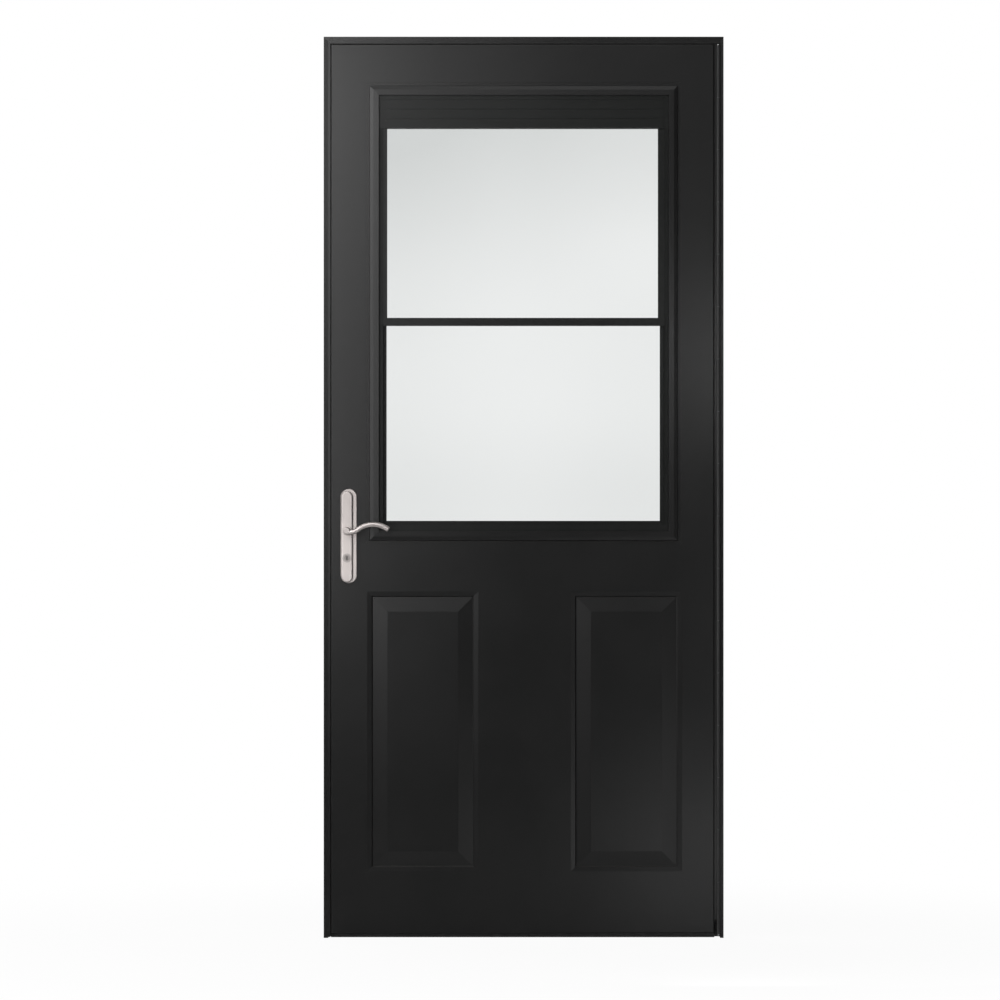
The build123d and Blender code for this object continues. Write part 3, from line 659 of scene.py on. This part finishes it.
def camera():
    """Long lens square on to the door, at the photograph's framing."""
    lens = bpy.data.cameras.new("camera")
    lens.sensor_width = SENSOR_WIDTH_MM
    lens.lens = SENSOR_WIDTH_MM * CAMERA_DISTANCE / VIEW_WIDTH_AT_DOOR
    holder = bpy.data.objects.new("camera", lens)
    bpy.context.scene.collection.objects.link(holder)
    holder.location = (CAMERA_X, -CAMERA_DISTANCE, CAMERA_Z)
    holder.rotation_euler = (math.radians(90), 0, 0)
    bpy.context.scene.camera = holder


def pale_floor():
    """Wide floor, white to the camera and through the glass but for a little shading near the door."""
    mesh = bpy.data.meshes.new("floor")
    shape = bmesh.new()
    bmesh.ops.create_circle(shape, cap_ends=True, segments=FLOOR_SIDES, radius=FLOOR_RADIUS)
    shape.to_mesh(mesh)
    shape.free()
    floor = bpy.data.objects.new("floor", mesh)
    bpy.context.scene.collection.objects.link(floor)
    door_centre = (cad_box[0] + cad_box[1]) / 2
    floor.location = (door_centre.x, door_centre.y, cad_box[0].z)
    material, s = new_finish("pale_floor")
    place = s.where()
    from_door = s.add("VectorMath", {"operation": "LENGTH"}, {0: place}, "Value")
    seen = s.ray("Camera") + s.ray("Transmission")
    speckle = s.band(s.noise(place, scale=40.0, detail=3.0), 0.3, 0.7)
    concrete = s.add("BsdfDiffuse", None, {"Color": s.tint(speckle, grey(0.80), grey(0.83))})
    white = s.add("Emission", None, {"Color": (1, 1, 1, 1), "Strength": 1.0})
    far = s.band(from_door, NEAR_DOOR, FAR_FROM_DOOR)
    share = seen * (far * SHADED_SHARE + (1 - SHADED_SHARE))
    s.add("OutputMaterial", None, {"Surface": s.add("MixShader", None, {0: share, 1: concrete, 2: white})})
    mesh.materials.append(material)


def studio_world():
    """White to the camera, through the glass and in reflections from behind, and faint elsewhere."""
    world = bpy.data.worlds.new("studio")
    bpy.context.scene.world = world
    world.use_nodes = True
    s = Shader(world.node_tree)
    behind = s.band(s.part(s.add("TexCoord", output="Generated"), "Y"), 0.2, 0.6)
    through = s.ray("Camera") + s.ray("Transmission")
    seen = s.add("Math", {"operation": "MAXIMUM"}, {0: through, 1: s.ray("Glossy") * behind})
    strength = seen * (1 - WORLD_LIGHT) + WORLD_LIGHT
    light = s.add("Background", None, {"Color": (1, 1, 1, 1), "Strength": strength})
    s.add("OutputWorld", None, {"Surface": light})


def softbox(name, place, aim, width, height, power):
    """Rectangular lamp turned towards a point, with its power in watts."""
    lamp = bpy.data.lights.new(name, "AREA")
    lamp.shape = "RECTANGLE"
    lamp.size = width
    lamp.size_y = height
    lamp.energy = power
    holder = bpy.data.objects.new(name, lamp)
    bpy.context.scene.collection.objects.link(holder)
    holder.location = place
    holder.rotation_euler = (Vector(aim) - Vector(place)).to_track_quat("-Z", "Y").to_euler()
    holder.visible_camera = False
    holder.visible_transmission = False


camera()
pale_floor()
studio_world()
# Broad light over the whole street face
softbox("left_wide", (-3.0, -3.5, 2.2), (-0.6, 0.0, 1.2), 2.0, 2.0, 4.4)
softbox("left_side", (-4.0, -1.5, 1.6), (-0.6, 0.0, 1.2), 1.2, 2.0, 40.0)
softbox("top_wide", (-0.45, -2.2, 3.4), (-0.45, 0.0, 1.6), 2.0, 1.0, 14.2)
softbox("high_centre", (-0.75, -2.5, 2.3), (-0.7, 0.0, 1.9), 0.7, 0.6, 1.6)
# Shine on the latch side, down to the handle
softbox("key_high", (-1.35, -1.4, 2.0), (-0.85, 0.0, 1.6), 0.7, 0.7, 8.3)
softbox("key_middle", (-1.3, -1.3, 1.1), (-0.88, 0.0, 1.0), 0.5, 0.9, 3.7)
softbox("key_low", (-1.07, -2.2, 0.9), (-0.9, 0.0, 0.9), 0.5, 0.8, 1.4)
softbox("edge_high", (-0.98, -1.8, 1.9), (-0.9, 0.0, 1.7), 0.3, 0.8, 2.4)
softbox("edge_middle", (-1.05, -1.8, 1.25), (-0.9, 0.0, 1.2), 0.3, 0.7, 1.05)
# Shine down the hinge side
softbox("rim_high", (0.24, -2.5, 2.1), (0.05, 0.0, 1.8), 0.6, 0.8, 1.45)
softbox("rim_middle", (0.02, -1.0, 1.34), (0.0, 0.0, 1.32), 0.08, 0.30, 0.78)
softbox("rim_knee", (0.15, -1.5, 0.75), (0.0, 0.0, 0.8), 0.2, 0.5, 0.4)
softbox("rim_low", (0.45, -1.2, 0.2), (-0.05, 0.0, 0.3), 0.6, 0.6, 0.84)
softbox("rim_foot", (0.0, -1.2, 0.12), (0.0, 0.0, 0.15), 0.3, 0.2, 0.66)
# Light on the house side
softbox("back", (-1.9, 2.6, 2.4), (-0.45, 0.0, 1.1), 2.6, 2.6, 60.0)
softbox("back_rim", (1.6, 2.2, 1.2), (-0.3, 0.0, 1.1), 1.2, 1.8, 22.0)
bpy.context.scene.view_settings.view_transform = "Standard"
